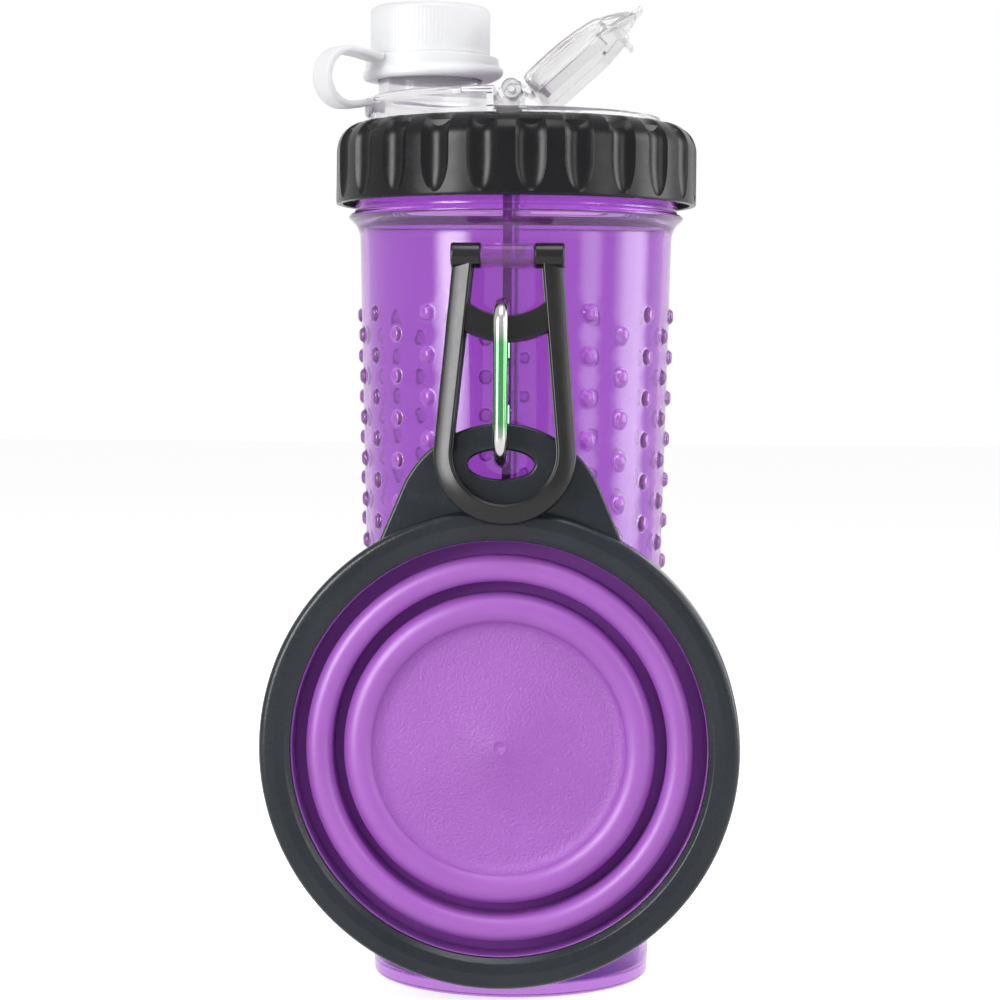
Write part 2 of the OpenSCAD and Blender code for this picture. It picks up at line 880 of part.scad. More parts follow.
module carabiner_gate() {
    tongue_w = 1.2;
    color(steel)
        difference() {
            union() {
                upright(gate_y, rivet_z + 2.5, nose_z - 1.2 - pass_gap, gate_r);
                // drawn-in foot, which clears the hook's body as the gate swings
                translate([hook_x, gate_y, rivet_z + 1.4 + pass_gap])
                    cylinder(r1 = 0.3 * gate_r, r2 = gate_r, h = 1.1 - pass_gap, $fn = 32);
                translate([hook_x - tongue_w / 2, gate_y, rivet_z])
                    rotate([0, 90, 0])
                        cylinder(r = 1.25, h = tongue_w, $fn = 32);
                translate([hook_x - tongue_w / 2, gate_y - 1.1, rivet_z])
                    cube([tongue_w, 2.2, 2.4]);
                translate([hook_x - tongue_w / 2, gate_y - 1.1, nose_z - 2])
                    cube([tongue_w, 2.2, 2.8]);
            }
            cross_pin(gate_y, rivet_z, rivet_r + run_gap, 10);
            cross_pin(gate_y, nose_z, nose_pin_r, 10);
        }
}

module gate_pivot_pin() {
    color(steel)
        cross_pin(gate_y, rivet_z, rivet_r, 2 * wire_r + 0.6);
}

module gate_nose_pin() {
    color(steel)
        cross_pin(gate_y, nose_z, nose_pin_r, 2 * wire_r - 0.2);
}

// ---- folding cup ----

module frame_profile() {
    polygon(concat(
        [[frame_body_r, 0]],
        arc([cup_r - 1.8, 1.8], 1.8, -90, 0, 6),
        arc([cup_r - 4, cup_t - 4], 4, 0, 90, 8),
        [[frame_body_r + 0.9, cup_t], [frame_in_r, lip_front], [frame_in_r, lip_back],
            [frame_body_r, lip_back]]));
}

module tab_outline() {
    difference() {
        polygon(concat(
            arc([0, tab_mid_z], tab_r, 26, 154, 32),
            [for (s = [-1, 1]) each
                let (flank = [[0.515, 0.839], [0.56, 0.807], [0.62, 0.771], [0.66, 0.735]])
                [for (i = [0:3]) let (p = flank[s < 0 ? i : 3 - i]) [s * p[0] * cup_r, cup_z + p[1] * cup_r]]]));
        translate([0, hole_z])
            polygon([for (a = [0:7.5:352.5]) [hole_a * cos(a), hole_b * sin(a)]]);
    }
}

module bowl_frame() {
    color(slate) {
        at_cup()
            rotate_extrude($fn = 144)
                frame_profile();
        difference() {
            translate([hook_x, web_y + tab_t / 2, 0])
                rotate([90, 0, 0])
                    linear_extrude(tab_t)
                        tab_outline();
            at_cup()
                translate([0, 0, -1])
                    cylinder(r = frame_body_r + 0.5, h = cup_t + 2);
        }
    }
}

module bowl_membrane_edge() {
    color(soft_purple)
        at_cup()
            rotate_extrude($fn = 144)
                polygon([[sleeve_in_r, web_depth], [frame_body_r, web_depth], [frame_body_r, lip_back],
                    [sleeve_in_r, lip_back]]);
}

// Hollow ridge with a full-round crest, open at its back
module ridge_profile(r, w, top) {
    mid = r - w / 2;
    difference() {
        union() {
            translate([mid, top - w / 2])
                circle(w / 2);
            translate([r - w, web_depth])
                square([w, top - w / 2 - web_depth]);
        }
        translate([mid, top - w / 2])
            circle(w / 2 - soft_t);
        translate([r - w + soft_t, web_depth - 1])
            square([w - 2 * soft_t, top - w / 2 - web_depth + 1]);
    }
}

module bowl_outer_fold() {
    color(soft_purple)
        at_cup()
            rotate_extrude($fn = 144) {
                ridge_profile(ridge1_r, ridge1_w, ridge1_top);
                translate([ridge1_r - eps, web_depth])
                    square([sleeve_in_r - pass_gap - ridge1_r + eps, soft_t]);
            }
}

module bowl_inner_fold() {
    groove = ridge1_r - ridge1_w - ridge2_r;
    color(soft_purple)
        at_cup()
            rotate_extrude($fn = 144) {
                ridge_profile(ridge2_r, ridge2_w, ridge2_top);
                translate([ridge2_r - eps, web_depth])
                    square([groove - pass_gap + eps, soft_t]);
            }
}

module bowl_floor() {
    r = ridge2_r - ridge2_w - pass_gap;
    color(soft_purple)
        at_cup()
            rotate_extrude($fn = 144)
                polygon([[0, floor_top], [r - 1, floor_top], [r, floor_top - 1], [r, web_depth],
                    [r - soft_t, web_depth], [r - soft_t, floor_top - soft_t], [0, floor_top - soft_t]]);
}

bottle_shell();
divider_wall();
lid_gasket();
lid_insert();
collar();
spout_cap();
cap_liner();
tether_ring();
tether_strap();
tether_stud();
snack_door();
door_pin();
hanger();
carabiner_body();
carabiner_gate();
gate_pivot_pin();
gate_nose_pin();
bowl_frame();
bowl_membrane_edge();
bowl_outer_fold();
bowl_inner_fold();
bowl_floor();
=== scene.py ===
"""Travel bottle with a folding cup: the dressed scene.

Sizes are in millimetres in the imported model's frame (front is -Y, up is +Z)
and are turned into metres when a mesh is made. Profiles are lists of
(radius, height) or (x, y) points, some with a corner radius as third number.
"""
import math

import bmesh
import bpy
from mathutils import Matrix, Vector


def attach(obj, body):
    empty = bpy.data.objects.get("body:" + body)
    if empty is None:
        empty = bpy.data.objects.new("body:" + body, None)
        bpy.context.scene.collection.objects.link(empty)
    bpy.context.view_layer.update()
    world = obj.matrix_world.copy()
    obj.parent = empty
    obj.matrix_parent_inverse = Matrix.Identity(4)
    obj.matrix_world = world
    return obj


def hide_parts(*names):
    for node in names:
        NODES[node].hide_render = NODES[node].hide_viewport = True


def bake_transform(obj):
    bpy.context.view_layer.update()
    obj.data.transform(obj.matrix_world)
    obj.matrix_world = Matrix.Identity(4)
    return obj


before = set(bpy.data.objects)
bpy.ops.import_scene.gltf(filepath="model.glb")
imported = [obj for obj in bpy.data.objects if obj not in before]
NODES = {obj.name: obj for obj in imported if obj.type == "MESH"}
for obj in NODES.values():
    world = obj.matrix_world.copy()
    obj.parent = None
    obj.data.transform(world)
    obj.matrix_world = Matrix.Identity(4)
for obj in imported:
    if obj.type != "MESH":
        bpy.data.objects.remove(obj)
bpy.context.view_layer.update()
MM = 0.001
TAU = 2 * math.pi

# ---- sizes, as in the solids ----
BODY_H, BASE_R, FLARE, WALL = 187.0, 34.9, 4.5, 2.0
NECK_R, NECK_IN, NECK_Z, RIM_Z = 40.8, 38.5, 192.8, 210.2
COLLAR_R, COLLAR_Z, COLLAR_TOP, COLLAR_IN, MOUTH_R = 45.5, 194.8, 215.1, 43.0, 38.1
LOW_TOP = 216.7  # top of the lid's low half
SPOUT_X = -22.0
RING_Z, RING_TOP, CAP_Z, CAP_TOP = 226.3, 232.2, 232.5, 244.7
BAR_X, BAR_Y, BAR_Z = 0.5, -43.941, 180.4
LEAN = math.radians(9.6)  # of the stirrup, hung from the bar
HOOK_X = -0.6
WEB_Y, WEB_Z = -46.910, 162.849  # the hook's upper bend, round the stirrup's web
RIM_MID = 137.349  # height of the hook's lower bend
GATE_Y, RIVET_Z, NOSE_Z = -41.310, 143.449, 157.049
CUP_BACK, CUP_Z, CUP_R, CUP_DEEP = -38.605, 62.949, 57.3, 13.4
HOLE_Z = 130.699  # hole in the cup's tab
AXIS_X, AXIS_Z, DOOR_OPEN = -0.8, 223.4, math.radians(42.0)
THREAD_PITCH = 4.0


def wall_r(z):
    """Outer radius of the beaker's tapered wall."""
    return BASE_R + FLARE * z / BODY_H


# ---- mesh helpers ----

def finish_mesh(name, me, body, mat, slot, reps=(), sharp=35.0, merge=0.0):
    """Makes a mesh a piece that rides on a body; given anything but a body's name, it stays fixed
    where it is.
    """
    bm = bmesh.new()
    bm.from_mesh(me)
    if merge:
        bmesh.ops.remove_doubles(bm, verts=bm.verts, dist=merge * MM)
        bmesh.ops.dissolve_degenerate(bm, edges=bm.edges, dist=merge * MM * 0.5)
    bmesh.ops.recalc_face_normals(bm, faces=bm.faces)
    bm.to_mesh(me)
    bm.free()
    me.shade_smooth()
    me.set_sharp_from_angle(angle=math.radians(sharp))
    me.materials.clear()
    me.materials.append(mat)
    ob = bpy.data.objects.new(name, me)
    bpy.context.scene.collection.objects.link(ob)
    if isinstance(body, str):
        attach(ob, body)
    else:
        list(body)
        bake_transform(ob)
    if reps:
        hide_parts(*reps)


class Build:
    """Collects the vertices and faces of one piece."""

    def __init__(self):
        self.v, self.f = [], []

    def vert(self, p):
        self.v.append(tuple(p))
        return len(self.v) - 1

    def face(self, start, count):
        """One face over a run of vertices."""
        self.f.append(tuple(range(start, start + count)))

    def add(self, other):
        n = len(self.v)
        self.v.extend(other.v)
        self.f.extend([tuple(i + n for i in f) for f in other.f])

    def grid(self, rows, closed=False):
        """Quads between closed rows of points; closed joins the last row to the first."""
        n, m = len(self.v), len(rows[0])
        for r in rows:
            self.v.extend(tuple(p) for p in r)
        for i in range(len(rows) if closed else len(rows) - 1):
            j = (i + 1) % len(rows)
            for k in range(m):
                k2 = (k + 1) % m
                self.f.append((n + i * m + k, n + i * m + k2, n + j * m + k2, n + j * m + k))

    def loft(self, rows):
        """A grid with a face over its first and its last row."""
        start, size = len(self.v), len(rows[0])
        self.grid(rows)
        self.face(start, size)
        self.face(len(self.v) - size, size)
        return self

    def make(self, name, body, mat, slot, reps=(), place=tuple, **finish):
        """Turns the build into a piece; place takes each point to the frame."""
        me = bpy.data.meshes.new(name)
        points = [place(p) for p in self.v]
        me.from_pydata([(p[0] * MM, p[1] * MM, p[2] * MM) for p in points], [], self.f)
        finish_mesh(name, me, body, mat, slot, reps, **finish)


def clamp(t):
    return max(0.0, min(1.0, t))


def arc(cx, cy, r, a0, a1, n=12):
    """Points on an arc from a0 to a1 degrees."""
    return [(cx + r * math.cos(math.radians(a0 + (a1 - a0) * i / n)),
             cy + r * math.sin(math.radians(a0 + (a1 - a0) * i / n))) for i in range(n + 1)]


def fillet(points, n=5):
    """Rounds the corners of a closed outline; each point is (x, y) or (x, y, radius)."""
    out = []
    m = len(points)
    for i, p in enumerate(points):
        r = p[2] if len(p) > 2 else 0
        a = Vector(points[i - 1][:2])
        b = Vector(p[:2])
        c = Vector(points[(i + 1) % m][:2])
        if r <= 0:
            out.append((b.x, b.y))
            continue
        u, w = (a - b), (c - b)
        lu, lw = u.length, w.length
        u, w = u / lu, w / lw
        half = math.acos(max(-1, min(1, u.dot(w)))) / 2
        # the corner takes less than half of each side
        t = min(r / math.tan(half), lu * 0.499, lw * 0.499)
        r = t * math.tan(half)
        centre = b + (u + w).normalized() * (r / math.sin(half))
        s = b + u * t - centre
        e = b + w * t - centre
        a0 = math.atan2(s.y, s.x)
        turn = math.atan2(e.y, e.x) - a0
        turn = (turn + math.pi) % TAU - math.pi
        for k in range(n + 1):
            a1 = a0 + turn * k / n
            out.append((centre.x + r * math.cos(a1), centre.y + r * math.sin(a1)))
    return out


def lathe(profile, seg):
    """Closed (r, z) profile turned about Z."""
    b = Build()
    rows = []
    for k in range(seg):
        a = math.radians(360.0 * k / seg)
        rows.append([(r * math.cos(a), r * math.sin(a), z) for r, z in profile])
    b.grid(rows, closed=True)
    return b


def tube(path, radii, seg):
    """Round tube along points, with a radius for each."""
    pts = [Vector(p) for p in path]
    last = len(pts) - 1
    rows = []
    ref = None
    for i, p in enumerate(pts):
        t = (pts[min(i + 1, last)] - pts[max(i - 1, 0)]).normalized()
        if ref is None:
            ref = t.orthogonal().normalized()
        ref = (ref - t * ref.dot(t)).normalized()
        side = t.cross(ref)
        turns = [TAU * k / seg for k in range(seg)]
        rows.append([p + (ref * math.cos(a) + side * math.sin(a)) * radii[i] for a in turns])
    return Build().loft(rows)


def slab(name, outlines, thick, edge, body, mat, slot, place, reps=(), steps=3, sharp=30.0):
    """Flat plate with round edges from 2D outlines, holes included; place maps (x, y, out)."""
    cu = bpy.data.curves.new(name + "_c", "CURVE")
    cu.dimensions = "2D"
    cu.fill_mode = "BOTH"
    cu.extrude = thick / 2 - edge
    cu.bevel_depth = edge
    cu.bevel_resolution = steps
    cu.offset = -edge
    for line in outlines:
        sp = cu.splines.new("POLY")
        sp.points.add(len(line) - 1)
        for q, (x, y) in zip(sp.points, line):
            q.co = (x, y, 0, 1)
        sp.use_cyclic_u = True
    tmp = bpy.data.objects.new(name + "_c", cu)
    bpy.context.scene.collection.objects.link(tmp)
    bpy.context.view_layer.update()
    dg = bpy.context.evaluated_depsgraph_get()
    me = bpy.data.meshes.new_from_object(tmp.evaluated_get(dg))
    bpy.data.objects.remove(tmp)
    bpy.data.curves.remove(cu)
    me.name = name
    for v in me.vertices:
        v.co = Vector(place(v.co.x, v.co.y, v.co.z)) * MM
    finish_mesh(name, me, body, mat, slot, reps, sharp, merge=0.001)


def helix(r, z0, pitch, turns, w, h, sign=1):
    """Thread ridge with a rounded crest, outside (sign 1) or inside (-1) a wall of radius r."""
    seg, sunk, fade_steps = 48, -0.25, 6
    n = int(seg * turns)
    rows = []
    for i in range(n + 1):
        a = TAU * turns * i / n
        fade = min(1, i / fade_steps, (n - i) / fade_steps)
        sec = [(sunk, -w / 2), (h * 0.7 * fade, -w / 3.2), (h * fade, 0),
               (h * 0.7 * fade, w / 3.2), (sunk, w / 2)]
        z = z0 + pitch * a / TAU
        rows.append([((r + sign * d) * math.cos(a), (r + sign * d) * math.sin(a), z + dz)
                     for d, dz in sec])
    return Build().loft(rows)


# ---- shader helpers ----

# sockets of the Mix node when it mixes colours
MIX_A, MIX_B, MIX_RESULT = 6, 7, 2


def put(nt, n, inputs):
    """Sets a node's sockets, each to a number or colour or by a link from an output."""
    for key, value in inputs.items():
        if isinstance(value, bpy.types.NodeSocket):
            nt.links.new(value, n.inputs[key])
        else:
            n.inputs[key].default_value = value


def node(nt, kind, inputs, **settings):
    n = nt.nodes.new("ShaderNode" + kind)
    for key, value in settings.items():
        setattr(n, key, value)
    put(nt, n, inputs)
    return n


def calc(nt, operation, a, b):
    return node(nt, "Math", {0: a, 1: b}, operation=operation).outputs[0]


def map_range(nt, value, low, high, to_low, to_high, **settings):
    ends = {"From Min": low, "From Max": high, "To Min": to_low, "To Max": to_high}
    return node(nt, "MapRange", {"Value": value, **ends}, **settings).outputs["Result"]


def mix_colour(nt, factor, a, b):
    return node(nt, "Mix", {"Factor": factor, MIX_A: a, MIX_B: b},
                data_type="RGBA").outputs[MIX_RESULT]


def split(nt, vec):
    """The X, Y and Z outputs of a vector."""
    return node(nt, "SeparateXYZ", {"Vector": vec}).outputs


def coords(nt):
    return nt.nodes.new("ShaderNodeTexCoord").outputs["Object"]


def noise(nt, vec, scale, detail=3.0):
    return node(nt, "TexNoise", {"Scale": scale, "Detail": detail, "Vector": vec}).outputs["Fac"]


def ramp(nt, fac, stops):
    r = node(nt, "ValToRGB", {"Fac": fac})
    e = r.color_ramp.elements
    while len(e) < len(stops):
        e.new(0.5)
    for el, (pos, col) in zip(e, stops):
        el.position = pos
        el.color = (*col, 1)
    return r.outputs["Color"]


def bump(nt, height, strength, distance):
    return node(nt, "Bump", {"Strength": strength, "Distance": distance,
                             "Height": height}).outputs["Normal"]


def drift(nt, vec, scale, low, high):
    """Slow change from one value, or from one colour, to another."""
    fac = noise(nt, vec, scale)
    if isinstance(low, tuple):
        return ramp(nt, fac, [(0.3, low), (0.7, high)])
    return map_range(nt, fac, 0.3, 0.7, low, high)


def seen_straight(nt):
    """1 for rays from the camera and for those in gloss and glass, 0 for the rest."""
    ray = nt.nodes.new("ShaderNodeLightPath").outputs
    either = calc(nt, "MAXIMUM", ray["Is Camera Ray"], ray["Is Glossy Ray"])
    return calc(nt, "MAXIMUM", either, ray["Is Transmission Ray"])


# ---- materials ----

def new_mat(name):
    m = bpy.data.materials.new(name)
    m.use_nodes = True
    nt = m.node_tree
    return m, nt, nt.nodes["Principled BSDF"]


def plastic(name, dark, light, rough, rough_var=0.05, grain=3000.0, grain_strength=0.1,
            spec=0.5, patch=60.0, deep=0.0001):
    """Moulded plastic: a slow colour drift, fine grain in bump and gloss."""
    m, nt, p = new_mat(name)
    vec = coords(nt)
    put(nt, p, {
        "Base Color": drift(nt, vec, patch, dark, light),
        "Roughness": drift(nt, vec, patch * 6, rough - rough_var, rough + rough_var),
        "Specular IOR Level": spec,
        "Normal": bump(nt, noise(nt, vec, grain, 2.0), grain_strength, deep)})
    return m


def clear(name, colour, darker, rough, ior, transmission=1.0, wave=0.02):
    """See-through plastic; wave is the strength of the faint flow waves from moulding."""
    m, nt, p = new_mat(name)
    vec = coords(nt)
    put(nt, p, {
        "Base Color": drift(nt, vec, 25.0, tuple(max(0, c - darker) for c in colour), colour),
        "Transmission Weight": transmission,
        "IOR": ior,
        "Roughness": drift(nt, vec, 300.0, max(0, rough - 0.01), rough + 0.02)})
    if wave:
        put(nt, p, {"Normal": bump(nt, noise(nt, vec, 90.0, 1.0), wave, 0.0005)})
    return m


def beaker_plastic():
    """Purple see-through plastic, deeper at the foot; the nubs' deeper colour and lower clearness
    are painted shade for the dark their refraction shows.
    """
    m = clear("purple_clear", (0.60, 0.275, 0.77), 0.03, 0.045, ior=1.42)
    nt = m.node_tree
    p = nt.nodes["Principled BSDF"]
    vec = coords(nt)
    x, y, z = split(nt, vec)
    level = node(nt, "CombineXYZ", {"X": x, "Y": y}).outputs[0]
    far = node(nt, "VectorMath", {0: level}, operation="LENGTH").outputs["Value"]
    wall = map_range(nt, z, 0.0, BODY_H * MM, BASE_R * MM, (BASE_R + FLARE) * MM)
    proud = map_range(nt, calc(nt, "SUBTRACT", far, wall), 0.00015, 0.0007, 0.0, 1.0)
    below_neck = map_range(nt, z, 0.1745, 0.175, 1.0, 0.0)
    nub = calc(nt, "MULTIPLY", proud, below_neck)
    foot = map_range(nt, z, 0.005, 0.012, 1.0, 0.0)
    plain = p.inputs["Base Color"].links[0].from_socket
    # painted shade on the nubs: a deeper copy of the purple, and less clearness below, for the
    # dark their refraction shows
    colour = mix_colour(nt, nub, plain, (0.52, 0.18, 0.66, 1))
    put(nt, p, {
        "Transmission Weight": map_range(nt, nub, 0.0, 1.0, 0.94, 0.7),
        "Specular IOR Level": 0.22,
        "Base Color": mix_colour(nt, foot, colour, (0.27, 0.06, 0.42, 1))})
    return m


def hook_metal(name, tint):
    """Polished metal; tint is the colour along the hook's straight stretch, and the grey at both
    bends is painted highlight.
    """
    m, nt, p = new_mat(name)
    vec = coords(nt)
    bend_highlight_grey = (0.42, 0.42, 0.41)
    up = map_range(nt, split(nt, vec)["Z"], 0.132, 0.170, 0.0, 1.0)
    put(nt, p, {
        "Metallic": 1.0,
        # painted highlight: grey at both bends for the white the curved metal catches there
        "Base Color": ramp(nt, up, [(0.12, bend_highlight_grey), (0.22, tint), (0.72, tint), (0.84, bend_highlight_grey)]),
        "Roughness": drift(nt, vec, 900.0, 0.12, 0.2),
        "Normal": bump(nt, noise(nt, vec, 1500.0, 2.0), 0.05, 0.0001)})
    return m


PURPLE = beaker_plastic()
BAR = clear("purple_bar", (0.74, 0.42, 0.82), 0.03, 0.04, 1.25, 0.92)
EDGE = clear("purple_edge", (0.36, 0.012, 0.33), 0.005, 0.05, 1.2, 0.25)
PLATE = clear("purple_plate", (0.86, 0.74, 0.93), 0.02, 0.03, 1.2)
CLEAR = clear("clear_plastic", (0.985, 0.985, 0.99), 0.01, 0.01, 1.22, 0.86)
HINGE = clear("clear_hinge", (0.93, 0.93, 0.935), 0.02, 0.03, 1.3)
HATCH = clear("hatch_plastic", (0.94, 0.935, 0.935), 0.01, 0.07, 1.25, 0.84)
FROST = clear("frosted_plastic", (0.92, 0.925, 0.94), 0.01, 0.34, 1.36, 0.4, wave=0.0)
BAND = clear("frosted_band", (0.80, 0.80, 0.815), 0.01, 0.4, 1.4, 0.4, wave=0.0)
SOFT_DARK, SOFT_LIGHT = (0.275, 0.074, 0.385), (0.30, 0.085, 0.42)
SOFT = plastic("purple_soft", SOFT_DARK, SOFT_LIGHT, 0.40, 0.04, 2500, 0.12, patch=40)
FLOOR = plastic("purple_soft_floor", SOFT_DARK, SOFT_LIGHT, 0.5, 0.05, 1800, 1.0,
                patch=40, deep=0.00032)
BLACK = plastic("black_collar", (0.003, 0.003, 0.004), (0.006, 0.006, 0.007), 0.25, 0.04,
                2500, 0.06, spec=0.17)
STIRRUP = plastic("black_hanger", (0.004, 0.004, 0.004), (0.007, 0.0065, 0.006), 0.22, 0.04,
                  2500, 0.05, spec=0.3)
SLATE = plastic("slate_frame", (0.008, 0.011, 0.015), (0.013, 0.017, 0.022), 0.25, 0.05,
                1500, 0.5, spec=0.26)
SEAL = plastic("seal_rubber", (0.7, 0.7, 0.7), (0.78, 0.78, 0.78), 0.6)
METAL = hook_metal("hook_metal", (0.10, 0.30, 0.12))
GATE = hook_metal("gate_metal", (0.5, 0.5, 0.49))


# ---- beaker ----

# rings of a nub, from its cell's edge to its top: radius, height over the wall
NUB_RINGS = ((2.9, 0.0), (2.5, 0.0), (2.25, 0.03), (2.05, 0.13), (1.86, 0.33), (1.68, 0.60),
             (1.48, 0.83), (1.22, 0.99), (0.9, 1.08), (0.45, 1.12))


def add_nub(b, cell, base, mid_z):
    """Fills a cell of the wall, given by the vertices round it, with a nub at angle base."""
    radius = wall_r(mid_z)
    m = len(cell)
    prev = cell
    for rad, out in NUB_RINGS:
        cur = []
        for q in cell:
            v = b.v[q]
            dx = (math.atan2(v[0], -v[1]) - base + math.pi) % TAU - math.pi
            th = math.atan2(v[2] - mid_z, dx * radius)
            z = rad * math.sin(th)
            r = wall_r(mid_z + z) + out
            a = base + rad * math.cos(th) / radius
            cur.append(b.vert((r * math.sin(a), -r * math.cos(a), mid_z + z)))
        for q in range(m):
            b.f.append((prev[q], prev[(q + 1) % m], cur[(q + 1) % m], cur[q]))
        prev = cur
    b.f.append(tuple(prev))


def beaker():
    """Tapered beaker; the nubs sit in cells of its wall, all round but for the smooth front."""
    b = Build()
    pitch, count, top_nub, lowest_nub = 10.3, 12, 167.0, 42
    cols, front_edge = 21, 30.5
    tall, per, front = 4, 8, 24  # wall quads: up a cell, across a cell, across the front
    dz = pitch / tall
    low = top_nub + pitch / 2 - dz * (tall * count + 2)
    step = (360.0 - 2 * front_edge) / (cols - 1)
    first = front_edge - step / 2
    angles = [first + step * i / per for i in range(cols * per + 1)]
    gap = 360.0 - cols * step
    angles += [angles[-1] + gap * (i + 1) / front for i in range(front - 1)]
    n = len(angles)

    foot_r, foot_round, inner_r, floor_z = 33.3, 1.6, 31.4, 2.6
    profile = [(0.0, 0.0), (foot_r, 0.0)] + arc(foot_r, foot_round, foot_round, -75, 0, 5)
    plain = [foot_round + (low - foot_round) * i / 12 for i in range(1, 12)]
    profile += [(wall_r(z), z) for z in plain]
    first_row = len(profile)
    profile += [(wall_r(low + dz * i), low + dz * i) for i in range(tall * count + 3)]
    profile += [(wall_r(z), z) for z in (175.0, 178.0, 181.0, 184.0, 186.0)]
    # cove under the shoulder's lip, then the neck with its rim, and the neck's inside
    profile += [(39.5, 187.2), (39.75, 188.2), (40.15, 189.1), (40.7, 189.9), (41.35, 190.55),
                (41.9, 191.0), (42.2, 191.3), (42.3, 191.6), (42.2, 191.95), (41.8, 192.3),
                (41.2, 192.5), (40.9, 192.75), (NECK_R, 193.2), (NECK_R, 209.4), (40.6, 210.0),
                (40.1, RIM_Z), (39.1, RIM_Z), (38.6, 209.9), (NECK_IN, 209.3), (NECK_IN, NECK_Z),
                (38.35, 190.9), (37.8, 188.3), (37.4, 186.5)]
    profile += [(wall_r(z) - WALL, z) for z in [180.0 - 8 * i for i in range(22)]]
    profile += [(wall_r(8) - WALL, 8.0)] + arc(inner_r, 4.3, 1.6, 0, -85, 5) + [(0.0, floor_z)]
    ids = []
    for r, z in profile:
        if r == 0.0:
            ids.append([b.vert((0, 0, z))] * n)
            continue
        turns = [math.radians(a) for a in angles]
        ids.append([b.vert((r * math.sin(t), -r * math.cos(t), z)) for t in turns])

    taken = set()
    for c in range(cols):
        for k in range(count):
            mid_z = top_nub - pitch * k - (pitch / 2 if c % 2 else 0)
            if mid_z < lowest_nub:
                continue
            r1, c1 = first_row + round((mid_z - pitch / 2 - low) / dz), c * per
            taken.update((r1 + i, c1 + j) for i in range(tall) for j in range(per))
            cell = [ids[r1][(c1 + j) % n] for j in range(per)]
            cell += [ids[r1 + i][(c1 + per) % n] for i in range(tall)]
            cell += [ids[r1 + tall][(c1 + per - j) % n] for j in range(per)]
            cell += [ids[r1 + tall - i][c1 % n] for i in range(tall)]
            add_nub(b, cell, math.radians(first + step * (c + 0.5)), mid_z)
    for i in range(len(profile) - 1):
        for j in range(n):
            if (i, j) in taken:
                continue
            j2 = (j + 1) % n
            quad = [ids[i][j], ids[i][j2], ids[i + 1][j2], ids[i + 1][j]]
            quad = [q for k, q in enumerate(quad) if q != quad[k - 1]]
            if len(quad) > 2:
                b.f.append(tuple(quad))
    b.add(helix(NECK_R, 202.8, THREAD_PITCH, 1.25, 2.0, 1.8))
    b.make("beaker", "bottle", PURPLE, "purple_plastic", ("bottle_shell",), sharp=45)


beaker()


def beaker_bar():
    """Bar for the hanger, with its stub pins and the rib that joins it to the wall."""
    pin_r, bar_r, pin_end, bar_end = 1.5, 3.0, 11.0, 6.4
    prof = fillet([(0.0, -pin_end), (pin_r, -pin_end, 0.3), (pin_r, -bar_end),
                   (bar_r, -bar_end, 0.35), (bar_r, bar_end, 0.35), (pin_r, bar_end),
                   (pin_r, pin_end, 0.3), (0.0, pin_end)])
    lathe(prof, 64).make("beaker_bar", "bottle", BAR, "purple_plastic", merge=0.0005,
                         place=lambda p: (BAR_X + p[2], BAR_Y + p[0], BAR_Z + p[1]))
    side = fillet([(-42.6, 178.6, 0.5), (-39.6, 177.6), (-38.9, 177.4), (-38.9, 183.4),
                   (-39.6, 183.2), (-42.6, 182.2, 0.5)])
    rib = Build().loft([[(BAR_X + x, y, z) for y, z in side] for x in (-6.3, -6.0, 6.0, 6.3)])
    rib.make("beaker_bar_rib", "bottle", BAR, "purple_plastic", sharp=25)


beaker_bar()


def divider():
    """Plate between the chambers; its front edge is a piece of its own, in a deeper colour."""
    thick, rounding, edge_w, gap = 2.1, 0.1, 3.5, 0.03
    rear = [(31.4, 2.65)]
    rear += [(wall_r(z) - WALL - gap, z) for z in (5.0, 60.0, 120.0, 180.0, 186.5)]
    rear += [(38.45, NECK_Z), (38.45, 209.8), (38.0, RIM_Z)]
    cut = [(-x + edge_w, z) for x, z in reversed(rear)]
    for name, line, mat, reps in (("divider", rear, PLATE, ("divider_wall",)),
                                  ("divider_edge", [(-x, z) for x, z in rear], EDGE, ())):
        slab(name, [line + cut], thick, rounding, "bottle", mat, "purple_plastic",
             lambda x, y, o: (o, x, y), reps, steps=1)


divider()


# ---- collar ----

